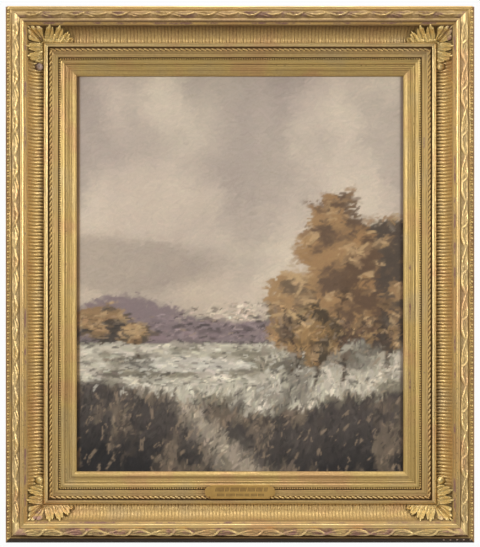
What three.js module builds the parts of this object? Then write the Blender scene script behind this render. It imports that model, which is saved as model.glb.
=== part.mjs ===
// A picture in a gilt, fluted cove frame, in millimetres with +Z up.
// The painting looks towards -Y and the flat back of the frame lies in the plane y = 0, against the wall.
// The origin is on that back, at the middle of the top rail, where the frame is fastened.
// A moulding's section is given by u, the distance outwards from the sight edge of the opening,
// and h, the height in front of the wall.
import * as THREE from 'three';

// Opening, canvas and stretcher
const SIGHT_WIDTH = 496;
const SIGHT_HEIGHT = 600;
const CANVAS_WIDTH = 508;
const CANVAS_HEIGHT = 610;
const CANVAS_THICKNESS = 1.2;
const CANVAS_FACE = 36.8;
const STRETCHER_BAR_WIDTH = 40;
const STRETCHER_BACK = 18;
const FIT_GAP = 0.4;

// Inner liner, from the sight edge out to the seam beside the pearls
const LINER_LIP_BACK = CANVAS_FACE + FIT_GAP;
const LINER_SEAM = 26;
const LINER_FLANGE = 33.6;
const LINER_FLANGE_TOP = 41.6;
const LINER_BACK = 20;
const REBATE_EDGE = 8;
const SIGHT_BEAD_RADIUS = 3.9;
const SIGHT_BEAD_TOP = 45;
const PEARL_RADIUS = 1.5;
const PEARL_AXIS = { u: 24.1, h: 47.4 };

// Outer rails, from the seam out to the side of the frame
const RAIL_BACK_INNER = LINER_FLANGE + FIT_GAP;
const RAIL_OUTER = 113.4;
const ROPE_RADIUS = 2;
const ROPE_AXIS = { u: 37.6, h: 50.1 };
const LIP_EDGE = { u: 48.2, h: 52.9 };
const COVE_FOOT = 48.7;
const COVE_TOP = 74;
const COVE_WIDTH = 20.5;
const COVE_DEPTH = 24.5;
const COVE_ANGLES = [2, 35, 65, 90];
const RIDGE_TOP = 82;
const BEAD_RADIUS = 2.4;
const BEAD_AXIS = { u: 100.6, h: 56.6 };

// Flutes of the cove
const FLUTE_PITCH = 5.15;
const FLUTE_DEPTH = 2.3;
const FLUTE_MARGIN = 60;
const FLUTES_PER_STATION = 4;

// Leaf garland on the outer torus
const LEAF_LENGTH = 34;
const LEAF_END_MARGIN = 6;

// Back strip of the top rail, whose middle is the fastening point
const FASTENING_U = (RAIL_BACK_INNER + RAIL_OUTER) / 2;
const FRAME_CENTRE_Z = -(SIGHT_HEIGHT / 2 + FASTENING_U);

// Nameplate on the bottom rail
const PLATE_LENGTH = 106;
const PLATE_WIDTH = 23;
const PLATE_THICKNESS = 1.2;
const PLATE_BACK = 52.5;
const PLATE_MIDDLE = 29.2;
const PLATE_NOTCH = 5;
const PLATE_POINT = 8;
const PLATE_TIP_RADIUS = 2;

const material = (color, roughness, metalness) => new THREE.MeshStandardMaterial({ color, roughness, metalness });

// ---- sections -----------------------------------------------------------------------------------------

const degrees = (angle) => (angle * Math.PI) / 180;

// Points of a round moulding about an axis, from one angle to another, 0 degrees pointing outwards.
function roundMoulding(axis, radius, from, to, steps) {
  const rows = [];
  for (let i = 0; i <= steps; i += 1) {
    const angle = degrees(from + ((to - from) * i) / steps);
    rows.push({ u: axis.u + radius * Math.cos(angle), h: axis.h + radius * Math.sin(angle) });
  }
  return rows;
}

// A point of the hollow cove: 0 degrees is its foot at the lip, 90 degrees its top under the ridge.
function covePoint(angle) {
  return {
    u: COVE_FOOT + COVE_WIDTH * Math.sin(degrees(angle)),
    h: COVE_TOP - COVE_DEPTH * Math.cos(degrees(angle)),
  };
}

// A point over the faceted cove, a distance across from its foot and lifted clear of its surface.
function overCove(across, lift) {
  const facets = COVE_ANGLES.map(covePoint);
  const u = COVE_FOOT + across;
  const upper = facets.findIndex((point) => point.u >= u);
  const [a, b] = [facets[upper - 1], facets[upper]];
  const h = a.h + ((b.h - a.h) * (u - a.u)) / (b.u - a.u);
  const angle = Math.asin(across / COVE_WIDTH);
  return { u: u - lift * Math.sin(angle), h: h + lift * Math.cos(angle) };
}

// Section of the liner: sight bead, flat, fillet, ovolo, row of pearls, and the flange under the rail.
function linerSection() {
  const beadAxis = { u: SIGHT_BEAD_RADIUS, h: SIGHT_BEAD_TOP - SIGHT_BEAD_RADIUS };
  const flatEnd = 14.2;
  const filletTop = 46.4;
  const ovoloTop = 49.2;
  return [
    { u: 0, h: LINER_LIP_BACK },
    ...roundMoulding(beadAxis, SIGHT_BEAD_RADIUS, 180, 90, 3),
    { u: 4.3, h: 44.2 },
    { u: flatEnd, h: 44.8 },
    { u: flatEnd, h: filletTop },
    { u: 16.4, h: filletTop },
    { u: 16.8, h: 45.9 },
    { u: 18.2, h: 48 },
    { u: 22.2, h: ovoloTop },
    { u: 22.4, h: PEARL_AXIS.h },
    ...roundMoulding(PEARL_AXIS, PEARL_RADIUS, 165, 15, 3),
    { u: LINER_SEAM, h: 46.4 },
    { u: LINER_SEAM, h: LINER_FLANGE_TOP },
    { u: LINER_FLANGE, h: LINER_FLANGE_TOP },
    { u: LINER_FLANGE, h: LINER_BACK },
    { u: REBATE_EDGE, h: LINER_BACK },
    { u: REBATE_EDGE, h: LINER_LIP_BACK },
  ];
}

// Section of a rail, with the rows that carry flutes and leaves marked.
function railSection() {
  const seam = LINER_SEAM + FIT_GAP;
  const friezeTop = 49.4;
  const grooveFloor = 47.6;
  const lipTop = 54;
  return [
    { u: seam, h: LINER_FLANGE_TOP + FIT_GAP },
    { u: seam, h: 46.6 },
    { u: 26.9, h: friezeTop },
    { u: 33.4, h: friezeTop },
    { u: 33.6, h: 50.8 },
    ...roundMoulding(ROPE_AXIS, ROPE_RADIUS, 165, 0, 4),
    { u: 39.9, h: grooveFloor },
    { u: 41.7, h: grooveFloor },
    { u: 42, h: 52.8 },
    { u: 43.6, h: lipTop },
    { u: 46.6, h: lipTop },
    { ...LIP_EDGE, stations: 'fluteGroups' },
    ...COVE_ANGLES.slice(0, -1).map((angle) => ({ ...covePoint(angle), stations: 'flutes' })),
    { ...covePoint(COVE_ANGLES.at(-1)), stations: 'fluteGroups' },
    { u: 73, h: 80 },
    { u: 73.2, h: RIDGE_TOP },
    { u: 75.8, h: RIDGE_TOP },
    { u: 76.9, h: 78.2 },
    { u: 79.4, h: 77.4, stations: 'leafEnds' },
    { u: 81, h: 79.2, stations: 'leaves', band: 'inner' },
    { u: 85.2, h: 78.6, stations: 'leaves', band: 'crown' },
    { u: 89.6, h: 72.5, stations: 'leaves', band: 'outer' },
    { u: 91.2, h: 66, stations: 'leafEnds' },
    { u: 91.6, h: 62.6 },
    { u: 95.6, h: 60.2 },
    { u: 96, h: 61.2 },
    { u: 98.2, h: 60.8 },
    ...roundMoulding(BEAD_AXIS, BEAD_RADIUS, 105, -45, 4),
    { u: 101.4, h: 51 },
    { u: 103.6, h: 32 },
    { u: 108, h: 18 },
    { u: RAIL_OUTER, h: 9 },
    { u: RAIL_OUTER, h: 0 },
    { u: RAIL_BACK_INNER, h: 0 },
    { u: RAIL_BACK_INNER, h: LINER_FLANGE_TOP + FIT_GAP },
  ];
}

// ---- ornament along a rail ----------------------------------------------------------------------------

// Crest and valley positions of the flutes, evenly spaced about the middle of a rail.
function fluteStations(sightLength) {
  const reach = sightLength / 2 + COVE_FOOT + COVE_WIDTH - FLUTE_MARGIN;
  const count = 2 * Math.floor(reach / FLUTE_PITCH);
  const start = (-count * FLUTE_PITCH) / 2;
  const stations = [];
  for (let i = 0; i < count; i += 1) {
    stations.push({ s: start + i * FLUTE_PITCH, valley: false });
    stations.push({ s: start + (i + 0.5) * FLUTE_PITCH, valley: true });
  }
  stations.push({ s: start + count * FLUTE_PITCH, valley: false });
  return stations;
}

// How far one garland leaf swells: along it, a low root, a full belly and a high tip over the next root.
const LEAF_SHAPE = [
  { along: 0.04, crown: -1, flank: -1.4 },
  { along: 0.5, crown: 0.8, flank: 0.9 },
  { along: 0.97, crown: 1.6, flank: -0.6 },
];

function leafStations(sightLength, innerU) {
  const reach = sightLength / 2 + innerU - LEAF_END_MARGIN;
  const count = Math.round((2 * reach) / LEAF_LENGTH);
  const length = (2 * reach) / count;
  const stations = [];
  for (let i = 0; i < count; i += 1) {
    for (const shape of LEAF_SHAPE) {
      stations.push({ s: -reach + (i + shape.along) * length, shape, mirrored: i % 2 === 1 });
    }
  }
  return stations;
}

// A leaf leans from side to side down the garland, so one flank swells more than the other.
function leafPoint(row, station) {
  const { shape, mirrored } = station;
  const lean = 0.6;
  if (row.band === 'crown') {
    return { u: row.u + (mirrored ? lean : -lean), h: row.h + shape.crown };
  }
  const fuller = (row.band === 'inner') === mirrored;
  const swell = shape.flank + (fuller ? lean : -lean);
  return row.band === 'inner'
    ? { u: row.u - swell * 0.5, h: row.h + swell * 0.6 }
    : { u: row.u + swell * 0.7, h: row.h + swell * 0.5 };
}

// One lengthwise row of points on a rail, between its two mitres.
function railRow(row, sightLength, ornament) {
  const end = sightLength / 2 + row.u;
  const points = [{ s: -end, u: row.u, h: row.h }];
  if (row.stations === 'flutes') {
    for (const { s, valley } of ornament.flutes) {
      const angle = Math.asin((row.u - COVE_FOOT) / COVE_WIDTH);
      const sink = valley ? FLUTE_DEPTH * Math.cos(angle / 2) : 0;
      points.push({ s, u: row.u + sink * Math.sin(angle), h: row.h - sink * Math.cos(angle) });
    }
  } else if (row.stations === 'fluteGroups') {
    const every = 2 * FLUTES_PER_STATION;
    for (let i = 0; i < ornament.flutes.length; i += every) {
      points.push({ s: ornament.flutes[i].s, u: row.u, h: row.h });
    }
  } else if (row.stations === 'leaves') {
    for (const station of ornament.leaves) {
      points.push({ s: station.s, ...leafPoint(row, station) });
    }
  } else if (row.stations === 'leafEnds') {
    for (let i = 0; i < ornament.leaves.length; i += LEAF_SHAPE.length) {
      points.push({ s: ornament.leaves[i].s, u: row.u, h: row.h });
    }
  }
  points.push({ s: end, u: row.u, h: row.h });
  return points;
}

// ---- mitred bars --------------------------------------------------------------------------------------

// Joins two neighbouring rows with triangles, stepping along the row whose next span lies further back.
function stitchRows(rowA, rowB, startA, startB, triangles) {
  let a = 0;
  let b = 0;
  while (a < rowA.length - 1 || b < rowB.length - 1) {
    const canStepA = a < rowA.length - 1;
    const canStepB = b < rowB.length - 1;
    const stepA = canStepA && (!canStepB || rowA[a].s + rowA[a + 1].s <= rowB[b].s + rowB[b + 1].s);
    if (stepA) {
      triangles.push(startA + a, startA + a + 1, startB + b);
      a += 1;
    } else {
      triangles.push(startA + a, startB + b + 1, startB + b);
      b += 1;
    }
  }
}

// Triangles that fill a section, wound the way its outline runs.
function endTriangles(section) {
  const outline = section.map(({ u, h }) => new THREE.Vector2(u, h));
  const clockwise = THREE.ShapeUtils.isClockWise(outline);
  return THREE.ShapeUtils.triangulateShape(outline, []).map((corners) => {
    const sameWay = THREE.ShapeUtils.isClockWise(corners.map((i) => outline[i])) === clockwise;
    return sameWay ? corners : corners.toReversed();
  });
}

// A closed bar with mitred ends. Rows run round the section; place maps (s, u, h) to the frame.
function mitredBar(section, rows, place) {
  const positions = [];
  const triangles = [];
  const starts = [];
  for (const row of rows) {
    starts.push(positions.length / 3);
    for (const point of row) {
      positions.push(...place(point));
    }
  }
  for (let i = 0; i < rows.length; i += 1) {
    const next = (i + 1) % rows.length;
    stitchRows(rows[i], rows[next], starts[i], starts[next], triangles);
  }
  for (const corners of endTriangles(section)) {
    triangles.push(...corners.map((i) => starts[i]));
    triangles.push(...corners.toReversed().map((i) => starts[i] + rows[i].length - 1));
  }
  return closedGeometry(positions, triangles);
}

// A BufferGeometry from shared points, turned so that its faces point out.
function closedGeometry(positions, triangles) {
  let volume = 0;
  const [a, b, c] = [new THREE.Vector3(), new THREE.Vector3(), new THREE.Vector3()];
  for (let i = 0; i < triangles.length; i += 3) {
    a.fromArray(positions, 3 * triangles[i]);
    b.fromArray(positions, 3 * triangles[i + 1]);
    c.fromArray(positions, 3 * triangles[i + 2]);
    volume += a.dot(b.cross(c));
  }
  const outward = volume > 0 ? triangles : triangles.toReversed();
  const geometry = new THREE.BufferGeometry();
  geometry.setAttribute('position', new THREE.Float32BufferAttribute(positions, 3));
  geometry.setIndex(outward);
  geometry.computeVertexNormals();
  return geometry;
}

// The four sides of the frame: how far each lies from the frame's centre, and how its length runs.
const SIDES = {
  top: { length: SIGHT_WIDTH, place: ({ s, u, h }) => [s, -h, SIGHT_HEIGHT / 2 + u] },
  bottom: { length: SIGHT_WIDTH, place: ({ s, u, h }) => [-s, -h, -SIGHT_HEIGHT / 2 - u] },
  left: { length: SIGHT_HEIGHT, place: ({ s, u, h }) => [-SIGHT_WIDTH / 2 - u, -h, s] },
  right: { length: SIGHT_HEIGHT, place: ({ s, u, h }) => [SIGHT_WIDTH / 2 + u, -h, -s] },
};

function rail(side) {
  const { length, place } = SIDES[side];
  const section = railSection();
  const innerLeafRow = section.find((row) => row.stations === 'leafEnds');
  const ornament = { flutes: fluteStations(length), leaves: leafStations(length, innerLeafRow.u) };
  const rows = section.map((row) => railRow(row, length, ornament));
  const mesh = new THREE.Mesh(mitredBar(section, rows, place), material(0xc9a566, 0.42, 0.9));
  mesh.name = `rail_${side}`;
  return mesh;
}

function liner(side) {
  const { length, place } = SIDES[side];
  const section = linerSection();
  const rows = section.map((row) => railRow(row, length, {}));
  const mesh = new THREE.Mesh(mitredBar(section, rows, place), material(0xc4a062, 0.45, 0.9));
  mesh.name = `liner_${side}`;
  return mesh;
}

// ---- corner leaves ------------------------------------------------------------------------------------

// One half of a corner leaf, as ribs from the lip out to its edge. along runs from the inner corner of the
// lip towards the middle of the rail, and across runs up the cove. tip is how proud the rib's end stands.
const CORNER_RIBS = [
  { root: 1, along: -9, across: 19.4, tip: 3.4 },
  { root: 2, along: -1.5, across: 19.2, tip: 4.4 },
  { root: 4, along: 3, across: 13.5, tip: 1.2 },
  { root: 9, along: 14.8, across: 18.6, tip: 4.4 },
  { root: 15, along: 19, across: 9.5, tip: 1.2 },
  { root: 21, along: 32.5, across: 16.8, tip: 4.2 },
  { root: 28, along: 32, across: 7.6, tip: 1.2 },
  { root: 34, along: 41.5, across: 9.8, tip: 3.6 },
  { root: 41, along: 46, across: 3, tip: 2.2 },
];
const MIDRIB_ACROSS = 19.2;
const RIB_STEPS = 3;
const LEAF_BODY = 3;
const NOTCH_BODY = 1.6;
const LEAF_ROOT_BODY = 1.4;

// Points down one rib: on the underside close over the cove, or on the face of the leaf.
function ribPoints(rib, face) {
  const points = [];
  for (let i = 0; i <= RIB_STEPS; i += 1) {
    const t = i / RIB_STEPS;
    const across = 0.8 + (rib.across - 0.8) * t;
    const along = rib.root + (rib.along - rib.root) * t;
    const body = rib.tip < 2 ? NOTCH_BODY : LEAF_BODY;
    const swell = LEAF_ROOT_BODY * (1 - t) + rib.tip * t + 4 * t * (1 - t) * (body - LEAF_ROOT_BODY);
    const lift = FIT_GAP + (face ? swell : 0);
    points.push({ along, ...overCove(across, lift) });
  }
  return points;
}

// The midrib lies on the mitre, where along is measured back over the corner.
function midribPoints(face) {
  const rib = { root: 0, along: 0, across: MIDRIB_ACROSS, tip: 4.6 };
  return ribPoints(rib, face).map(({ u, h }) => ({ along: COVE_FOOT - u, u, h }));
}

// Ribs in order from the end of one wing, over the midrib, to the end of the other.
function cornerRibs(face, side) {
  const placed = (wing, points) =>
    points.map(({ along, u, h }) => {
      const near = COVE_FOOT - along;
      const [x, z] = wing === 'level' ? [near, u] : [u, near];
      return [side.x * (SIGHT_WIDTH / 2 + x), -h, side.z * (SIGHT_HEIGHT / 2 + z)];
    });
  const wing = CORNER_RIBS.map((rib) => ribPoints(rib, face));
  const level = wing.map((points) => placed('level', points)).reverse();
  const upright = wing.map((points) => placed('upright', points));
  return [...level, placed('level', midribPoints(face)), ...upright];
}

function cornerLeaf(name, side) {
  const under = cornerRibs(false, side);
  const face = cornerRibs(true, side);
  const ribs = under.length;
  const across = RIB_STEPS + 1;
  const positions = [...under, ...face].flat(2);
  const at = (layer, rib, step) => layer * ribs * across + rib * across + step;
  const triangles = [];
  const quad = (a, b, c, d) => triangles.push(a, b, c, a, c, d);
  for (let rib = 0; rib < ribs - 1; rib += 1) {
    for (let step = 0; step < RIB_STEPS; step += 1) {
      quad(at(1, rib, step), at(1, rib, step + 1), at(1, rib + 1, step + 1), at(1, rib + 1, step));
      quad(at(0, rib, step), at(0, rib + 1, step), at(0, rib + 1, step + 1), at(0, rib, step + 1));
    }
    quad(at(0, rib, 0), at(1, rib, 0), at(1, rib + 1, 0), at(0, rib + 1, 0));
    quad(at(0, rib, RIB_STEPS), at(0, rib + 1, RIB_STEPS), at(1, rib + 1, RIB_STEPS), at(1, rib, RIB_STEPS));
  }
  for (let step = 0; step < RIB_STEPS; step += 1) {
    quad(at(0, 0, step), at(0, 0, step + 1), at(1, 0, step + 1), at(1, 0, step));
    const last = ribs - 1;
    quad(at(0, last, step), at(1, last, step), at(1, last, step + 1), at(0, last, step + 1));
  }
  const mesh = new THREE.Mesh(closedGeometry(positions, triangles), material(0xd3b06c, 0.38, 0.9));
  mesh.name = name;
  return mesh;
}

// ---- canvas, stretcher and nameplate ------------------------------------------------------------------

function canvas() {
  const geometry = new THREE.BoxGeometry(CANVAS_WIDTH, CANVAS_THICKNESS, CANVAS_HEIGHT);
  const mesh = new THREE.Mesh(geometry, material(0x9a8e84, 0.6, 0));
  mesh.position.y = -(CANVAS_FACE - CANVAS_THICKNESS / 2);
  mesh.name = 'canvas';
  return mesh;
}

// A stretcher bar with mitred ends, behind the edge of the canvas.
function stretcherBar(side) {
  const { length, place } = SIDES[side];
  const level = length === SIGHT_WIDTH;
  const overWidth = (CANVAS_WIDTH - SIGHT_WIDTH) / 2;
  const overHeight = (CANVAS_HEIGHT - SIGHT_HEIGHT) / 2;
  const [outer, mitre] = level ? [overHeight, overWidth] : [overWidth, overHeight];
  const face = CANVAS_FACE - CANVAS_THICKNESS - FIT_GAP;
  const section = [
    { u: outer, h: face },
    { u: outer, h: STRETCHER_BACK },
    { u: outer - STRETCHER_BAR_WIDTH, h: STRETCHER_BACK },
    { u: outer - STRETCHER_BAR_WIDTH, h: face },
  ];
  const rows = section.map(({ u, h }) => {
    const end = length / 2 + mitre - (outer - u) - FIT_GAP / 2;
    return [{ s: -end, u, h }, { s: end, u, h }];
  });
  const mesh = new THREE.Mesh(mitredBar(section, rows, place), material(0xb08d62, 0.7, 0));
  mesh.name = `stretcher_${side}`;
  return mesh;
}

// Engraved brass plate with bracket-shaped ends, over the liner's pearls, the frieze and the rope.
function nameplate() {
  const halfWidth = PLATE_WIDTH / 2;
  const edge = PLATE_LENGTH / 2 - PLATE_POINT;
  const notch = edge + PLATE_NOTCH;
  const tip = edge + PLATE_POINT;
  const step = halfWidth - PLATE_NOTCH;
  const outline = new THREE.Shape();
  outline.moveTo(-edge, -halfWidth);
  for (const way of [1, -1]) {
    outline.lineTo(way * edge, -way * halfWidth);
    outline.quadraticCurveTo(way * edge, -way * step, way * notch, -way * step);
    outline.quadraticCurveTo(way * tip, -way * PLATE_TIP_RADIUS, way * tip, 0);
    outline.quadraticCurveTo(way * tip, way * PLATE_TIP_RADIUS, way * notch, way * step);
    outline.quadraticCurveTo(way * edge, way * step, way * edge, way * halfWidth);
  }
  const geometry = new THREE.ExtrudeGeometry(outline, {
    depth: PLATE_THICKNESS,
    bevelEnabled: false,
    curveSegments: 3,
  });
  const mesh = new THREE.Mesh(geometry, material(0xb08a44, 0.3, 1));
  mesh.rotation.x = Math.PI / 2;
  mesh.position.set(0, -PLATE_BACK, -SIGHT_HEIGHT / 2 - PLATE_MIDDLE);
  mesh.name = 'nameplate';
  return mesh;
}

// ---- the framed picture -------------------------------------------------------------------------------

const CORNERS = {
  corner_leaf_top_left: { x: -1, z: 1 },
  corner_leaf_top_right: { x: 1, z: 1 },
  corner_leaf_bottom_left: { x: -1, z: -1 },
  corner_leaf_bottom_right: { x: 1, z: -1 },
};

const group = new THREE.Group();
const picture = new THREE.Group();
picture.position.z = FRAME_CENTRE_Z;
for (const side of Object.keys(SIDES)) {
  picture.add(rail(side), liner(side), stretcherBar(side));
}
for (const [name, side] of Object.entries(CORNERS)) {
  picture.add(cornerLeaf(name, side));
}
picture.add(canvas(), nameplate());
group.add(picture);

export default group;
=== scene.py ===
"""A painted landscape in a deep gilt frame with a fluted cove: the looks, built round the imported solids.

A moulding's section is given in millimetres by u, the distance outwards from the sight edge of the opening,
and h, the height in front of the wall. s runs along a side of the frame, from mitre to mitre.
"""
import math
from collections import namedtuple
from functools import partial

import bmesh
import bpy
import numpy as np
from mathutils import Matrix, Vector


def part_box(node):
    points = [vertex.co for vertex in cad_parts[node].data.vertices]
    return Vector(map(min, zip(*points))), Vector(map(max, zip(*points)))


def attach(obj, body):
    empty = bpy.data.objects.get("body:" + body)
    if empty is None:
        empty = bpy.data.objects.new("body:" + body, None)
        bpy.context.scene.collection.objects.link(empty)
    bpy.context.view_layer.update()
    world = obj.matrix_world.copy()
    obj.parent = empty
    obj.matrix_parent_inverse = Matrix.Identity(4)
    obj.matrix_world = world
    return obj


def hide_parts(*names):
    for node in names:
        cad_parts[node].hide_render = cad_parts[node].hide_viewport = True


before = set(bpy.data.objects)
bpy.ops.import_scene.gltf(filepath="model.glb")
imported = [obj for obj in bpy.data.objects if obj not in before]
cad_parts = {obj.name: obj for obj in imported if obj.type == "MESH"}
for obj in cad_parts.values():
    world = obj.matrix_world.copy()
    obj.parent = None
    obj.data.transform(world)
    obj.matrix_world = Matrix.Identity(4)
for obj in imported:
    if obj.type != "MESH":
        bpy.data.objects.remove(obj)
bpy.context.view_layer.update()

MM = 0.001
BODY = "root"

# ---- sizes that come from the solids ----

SIGHT_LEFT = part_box("liner_left")[1].x / MM
SIGHT_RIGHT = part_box("liner_right")[0].x / MM
SIGHT_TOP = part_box("liner_top")[0].z / MM
SIGHT_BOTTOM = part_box("liner_bottom")[1].z / MM
SIGHT_WIDTH = SIGHT_RIGHT - SIGHT_LEFT
SIGHT_HEIGHT = SIGHT_TOP - SIGHT_BOTTOM
CENTRE_Z = (SIGHT_TOP + SIGHT_BOTTOM) / 2
FRAME_HALF_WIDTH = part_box("rail_right")[1].x / MM
RAIL_OUTER = FRAME_HALF_WIDTH - SIGHT_WIDTH / 2
CANVAS_FACE = -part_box("canvas")[0].y / MM

SIDES = {
    "top": (SIGHT_WIDTH, lambda s, u, h: (s, -h, SIGHT_TOP + u)),
    "bottom": (SIGHT_WIDTH, lambda s, u, h: (-s, -h, SIGHT_BOTTOM - u)),
    "left": (SIGHT_HEIGHT, lambda s, u, h: (SIGHT_LEFT - u, -h, CENTRE_Z + s)),
    "right": (SIGHT_HEIGHT, lambda s, u, h: (SIGHT_RIGHT + u, -h, CENTRE_Z - s)),
}

# ---- sizes of the carving ----

# The flutes, and the cove that they fill: where it starts and ends in the section, its width and its depth.
FLUTE_PITCH = 5.15
FLUTE_DEPTH = 2.5
FLUTE_SLICES = (0.0, 0.07, 0.2, 0.35, 0.5, 0.65, 0.8, 0.93)
COVE_FOOT = 48.7
COVE_TOP = 74.0
COVE_WIDTH = 20.5
COVE_DEPTH = 24.5
# How far the toning and painted shade behind the corner leaves reach into the cove, and the spacing of points
# along the garland and along plain rows.
LEAF_REACH = {"top": 36.0, "bottom": 36.0, "left": 26.0, "right": 26.0}
LEAF_STEP = 0.75
PLAIN_STEP = 24.0
# The rows of small ornament: where each lies, as (u, h), and its pitch.
ROPE_AT, ROPE_PITCH = (38.1, 50.1), 7.8
PEARLS_AT, PEARL_PITCH = (24.6, 47.8), 3.6
BEADS_AT, BEAD_PITCH = (100.4, 56.6), 4.05
BEADED_SIDES = ("left", "right")
# How much of the bottom edge still has beads, and their pitch.
LAST_BEADS = 40.0
LAST_BEAD_PITCH = 8.1


# ---- colour and node helpers ----

def linear(hex_colour):
    """An sRGB hex colour as linear red, green, blue and alpha."""
    channels = [int(hex_colour[i:i + 2], 16) / 255 for i in (0, 2, 4)]
    return [c / 12.92 if c <= 0.04045 else ((c + 0.055) / 1.055) ** 2.4 for c in channels] + [1.0]


# Settings of nodes that recur in the finishes: a mix of two colours, and a product with a number added.
COLOURS = {"data_type": "RGBA"}
TIMES_PLUS = {"operation": "MULTIPLY_ADD"}


def add(tree, kind, settings=None, **inputs):
    """Adds a node. settings are its properties, and inputs its socket values.

    An input is linked where it is given a socket, or a node, which stands for its first live output.
    """
    node = tree.nodes.new(kind)
    for key, value in (settings or {}).items():
        setattr(node, key, value)
    for key, value in inputs.items():
        by_number = key[0] == "_" and key[1:].isdigit()
        socket = node.inputs[int(key[1:]) if by_number else key.replace("_", " ")]
        if isinstance(value, bpy.types.Node):
            value = next(output for output in value.outputs if output.enabled)
        if isinstance(value, bpy.types.NodeSocket):
            tree.links.new(value, socket)
        else:
            socket.default_value = value
    return node


def stand(name, data):
    """A new object in the scene."""
    thing = bpy.data.objects.new(name, data)
    bpy.context.collection.objects.link(thing)
    return thing


def eased(t):
    """A passage from 0 to 1 that starts and ends softly."""
    return t * t * (3 - 2 * t)


# ---- mitred bars ----

Row = namedtuple("Row", "s u h recess burnish bole slot turned")


def span(length, u, step):
    """Plain stations along a row, closed at both ends by the mitres."""
    end = length / 2 + u
    return np.linspace(-end, end, max(2, int(2 * end / step)))


def stitch(s_a, s_b, start_a, start_b):
    """Triangles between two neighbouring rows of a bar, whatever their stations."""
    if len(s_a) == len(s_b) and np.abs(s_a[1:-1] - s_b[1:-1]).max(initial=0) < 1e-6:
        i = np.arange(len(s_a) - 1)
        a, b = start_a + i, start_b + i
        return np.concatenate([np.stack([a, a + 1, b + 1], 1), np.stack([a, b + 1, b], 1)])
    faces, a, b = [], 0, 0
    while a < len(s_a) - 1 or b < len(s_b) - 1:
        step_a = a < len(s_a) - 1 and (
            b == len(s_b) - 1 or s_a[a] + s_a[a + 1] <= s_b[b] + s_b[b + 1])
        if step_a:
            faces.append((start_a + a, start_a + a + 1, start_b + b))
            a += 1
        else:
            faces.append((start_a + a, start_b + b + 1, start_b + b))
            b += 1
    return np.array(faces)


def bar(rows, place):
    """A closed mitred bar from its rows.

    A Row holds arrays s, u, h, recess, burnish and bole, a face slot, and whether it was worked across the
    moulding, as the reeds were, or along it.
    """
    points, courses, shades, faces, slots, starts = [], [], [], [], [], []
    for row in rows:
        starts.append(sum(len(p) for p in points))
        points.append(np.stack(place(row.s, row.u, row.h), 1))
        courses.append(np.stack([row.u, row.s, row.h] if row.turned else [row.s, row.u, row.h], 1))
        shades.append(np.stack([row.recess, row.burnish, row.bole], 1))
    for i, row in enumerate(rows):
        following = rows[(i + 1) % len(rows)]
        strip = stitch(row.s, following.s, starts[i], starts[(i + 1) % len(rows)])
        faces.append(strip)
        slots.append(np.full(len(strip), row.slot))
    ends = [starts, [start + len(row.s) - 1 for start, row in zip(starts, rows)][::-1]]
    return [np.concatenate(part) for part in (points, faces, slots, shades)] + [ends, np.concatenate(courses)]


def finish_mesh(name, points, faces, materials, slots=None, shades=None, polygons=(), course=None, sharp=38):
    """A mesh object in metres from millimetre points, outward facing, with its wear and painted shade
    attributes.

    course is the way the surface was worked: its first coordinate runs along the brush or the scraper.
    """
    mesh = bpy.data.meshes.new(name)
    every_face = [list(map(int, face)) for face in faces] + [list(map(int, face)) for face in polygons]
    mesh.from_pydata((np.asarray(points) * MM).tolist(), [], every_face)
    for material in materials:
        mesh.materials.append(material)
    if slots is not None:
        every = np.concatenate([slots, np.zeros(len(polygons), int)]).astype(np.int32)
        mesh.polygons.foreach_set("material_index", every)
    if shades is not None:
        for column, label in enumerate(("recess", "burnish", "bole")[:shades.shape[1]]):
            layer = mesh.attributes.new(label, "FLOAT", "POINT")
            layer.data.foreach_set("value", np.ascontiguousarray(shades[:, column], np.float32))
    layer = mesh.attributes.new("course", "FLOAT_VECTOR", "POINT")
    worked = np.asarray(points if course is None else course) * MM
    layer.data.foreach_set("vector", worked.ravel().astype(np.float32))
    work = bmesh.new()
    work.from_mesh(mesh)
    bmesh.ops.recalc_face_normals(work, faces=work.faces)
    work.to_mesh(mesh)
    work.free()
    mesh.shade_smooth()
    mesh.set_sharp_from_angle(angle=math.radians(sharp))
    return stand(name, mesh)


def grid_faces(index):
    """The quads of a grid of point numbers."""
    return np.stack([index[:-1, :-1], index[:-1, 1:], index[1:, 1:], index[1:, :-1]], -1).reshape(-1, 4)


def grid_rim(index):
    """The point numbers round the edge of a grid, in order."""
    return np.concatenate([index[0, :-1], index[:-1, -1], index[-1, :0:-1], index[:0:-1, 0]])


def ring_wall(rim, other):
    """The quads between two rings of point numbers."""
    return np.stack([rim, np.roll(rim, -1), np.roll(other, -1), other], 1)


# ---- sections of the mouldings ----

# The face slots. The last takes a lighter copy of the gilding, as painted light.
GILT, SIDE_TONE, BARE_BACK, RUBBED_PAINTED_LIGHT = 0, 1, 2, 3
# Painted shade laid evenly over whole rails, on the top and bottom ones, and how much bole shows in the
# flats, on each side of the frame.
RAIL_PAINTED_SHADE = {"top": 0.36, "bottom": 0.31, "left": 0.0, "right": 0.0}
LINER_PAINTED_SHADE = {"top": 0.1, "bottom": 0.18, "left": 0.0, "right": 0.0}
FLAT_BOLE = {"top": 0.3, "bottom": 0.35, "left": 0.3, "right": 0.6}


def plain(length, u, h, recess=0.0, burnish=0.0, bole=0.0, slot=GILT):
    """A straight row, with the same place in the section and the same wear all along."""
    s = span(length, u, PLAIN_STEP)
    even = np.ones(len(s))
    return Row(s, u * even, h * even, recess * even, burnish * even, bole * even, slot, False)


def arc(u, h, radius, start, stop, count):
    """Points of a round moulding about (u, h); 0 degrees points outwards and 90 to the front."""
    turns = np.radians(np.linspace(start, stop, count))
    return [(u + radius * math.cos(t), h + radius * math.sin(t)) for t in turns]


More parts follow.
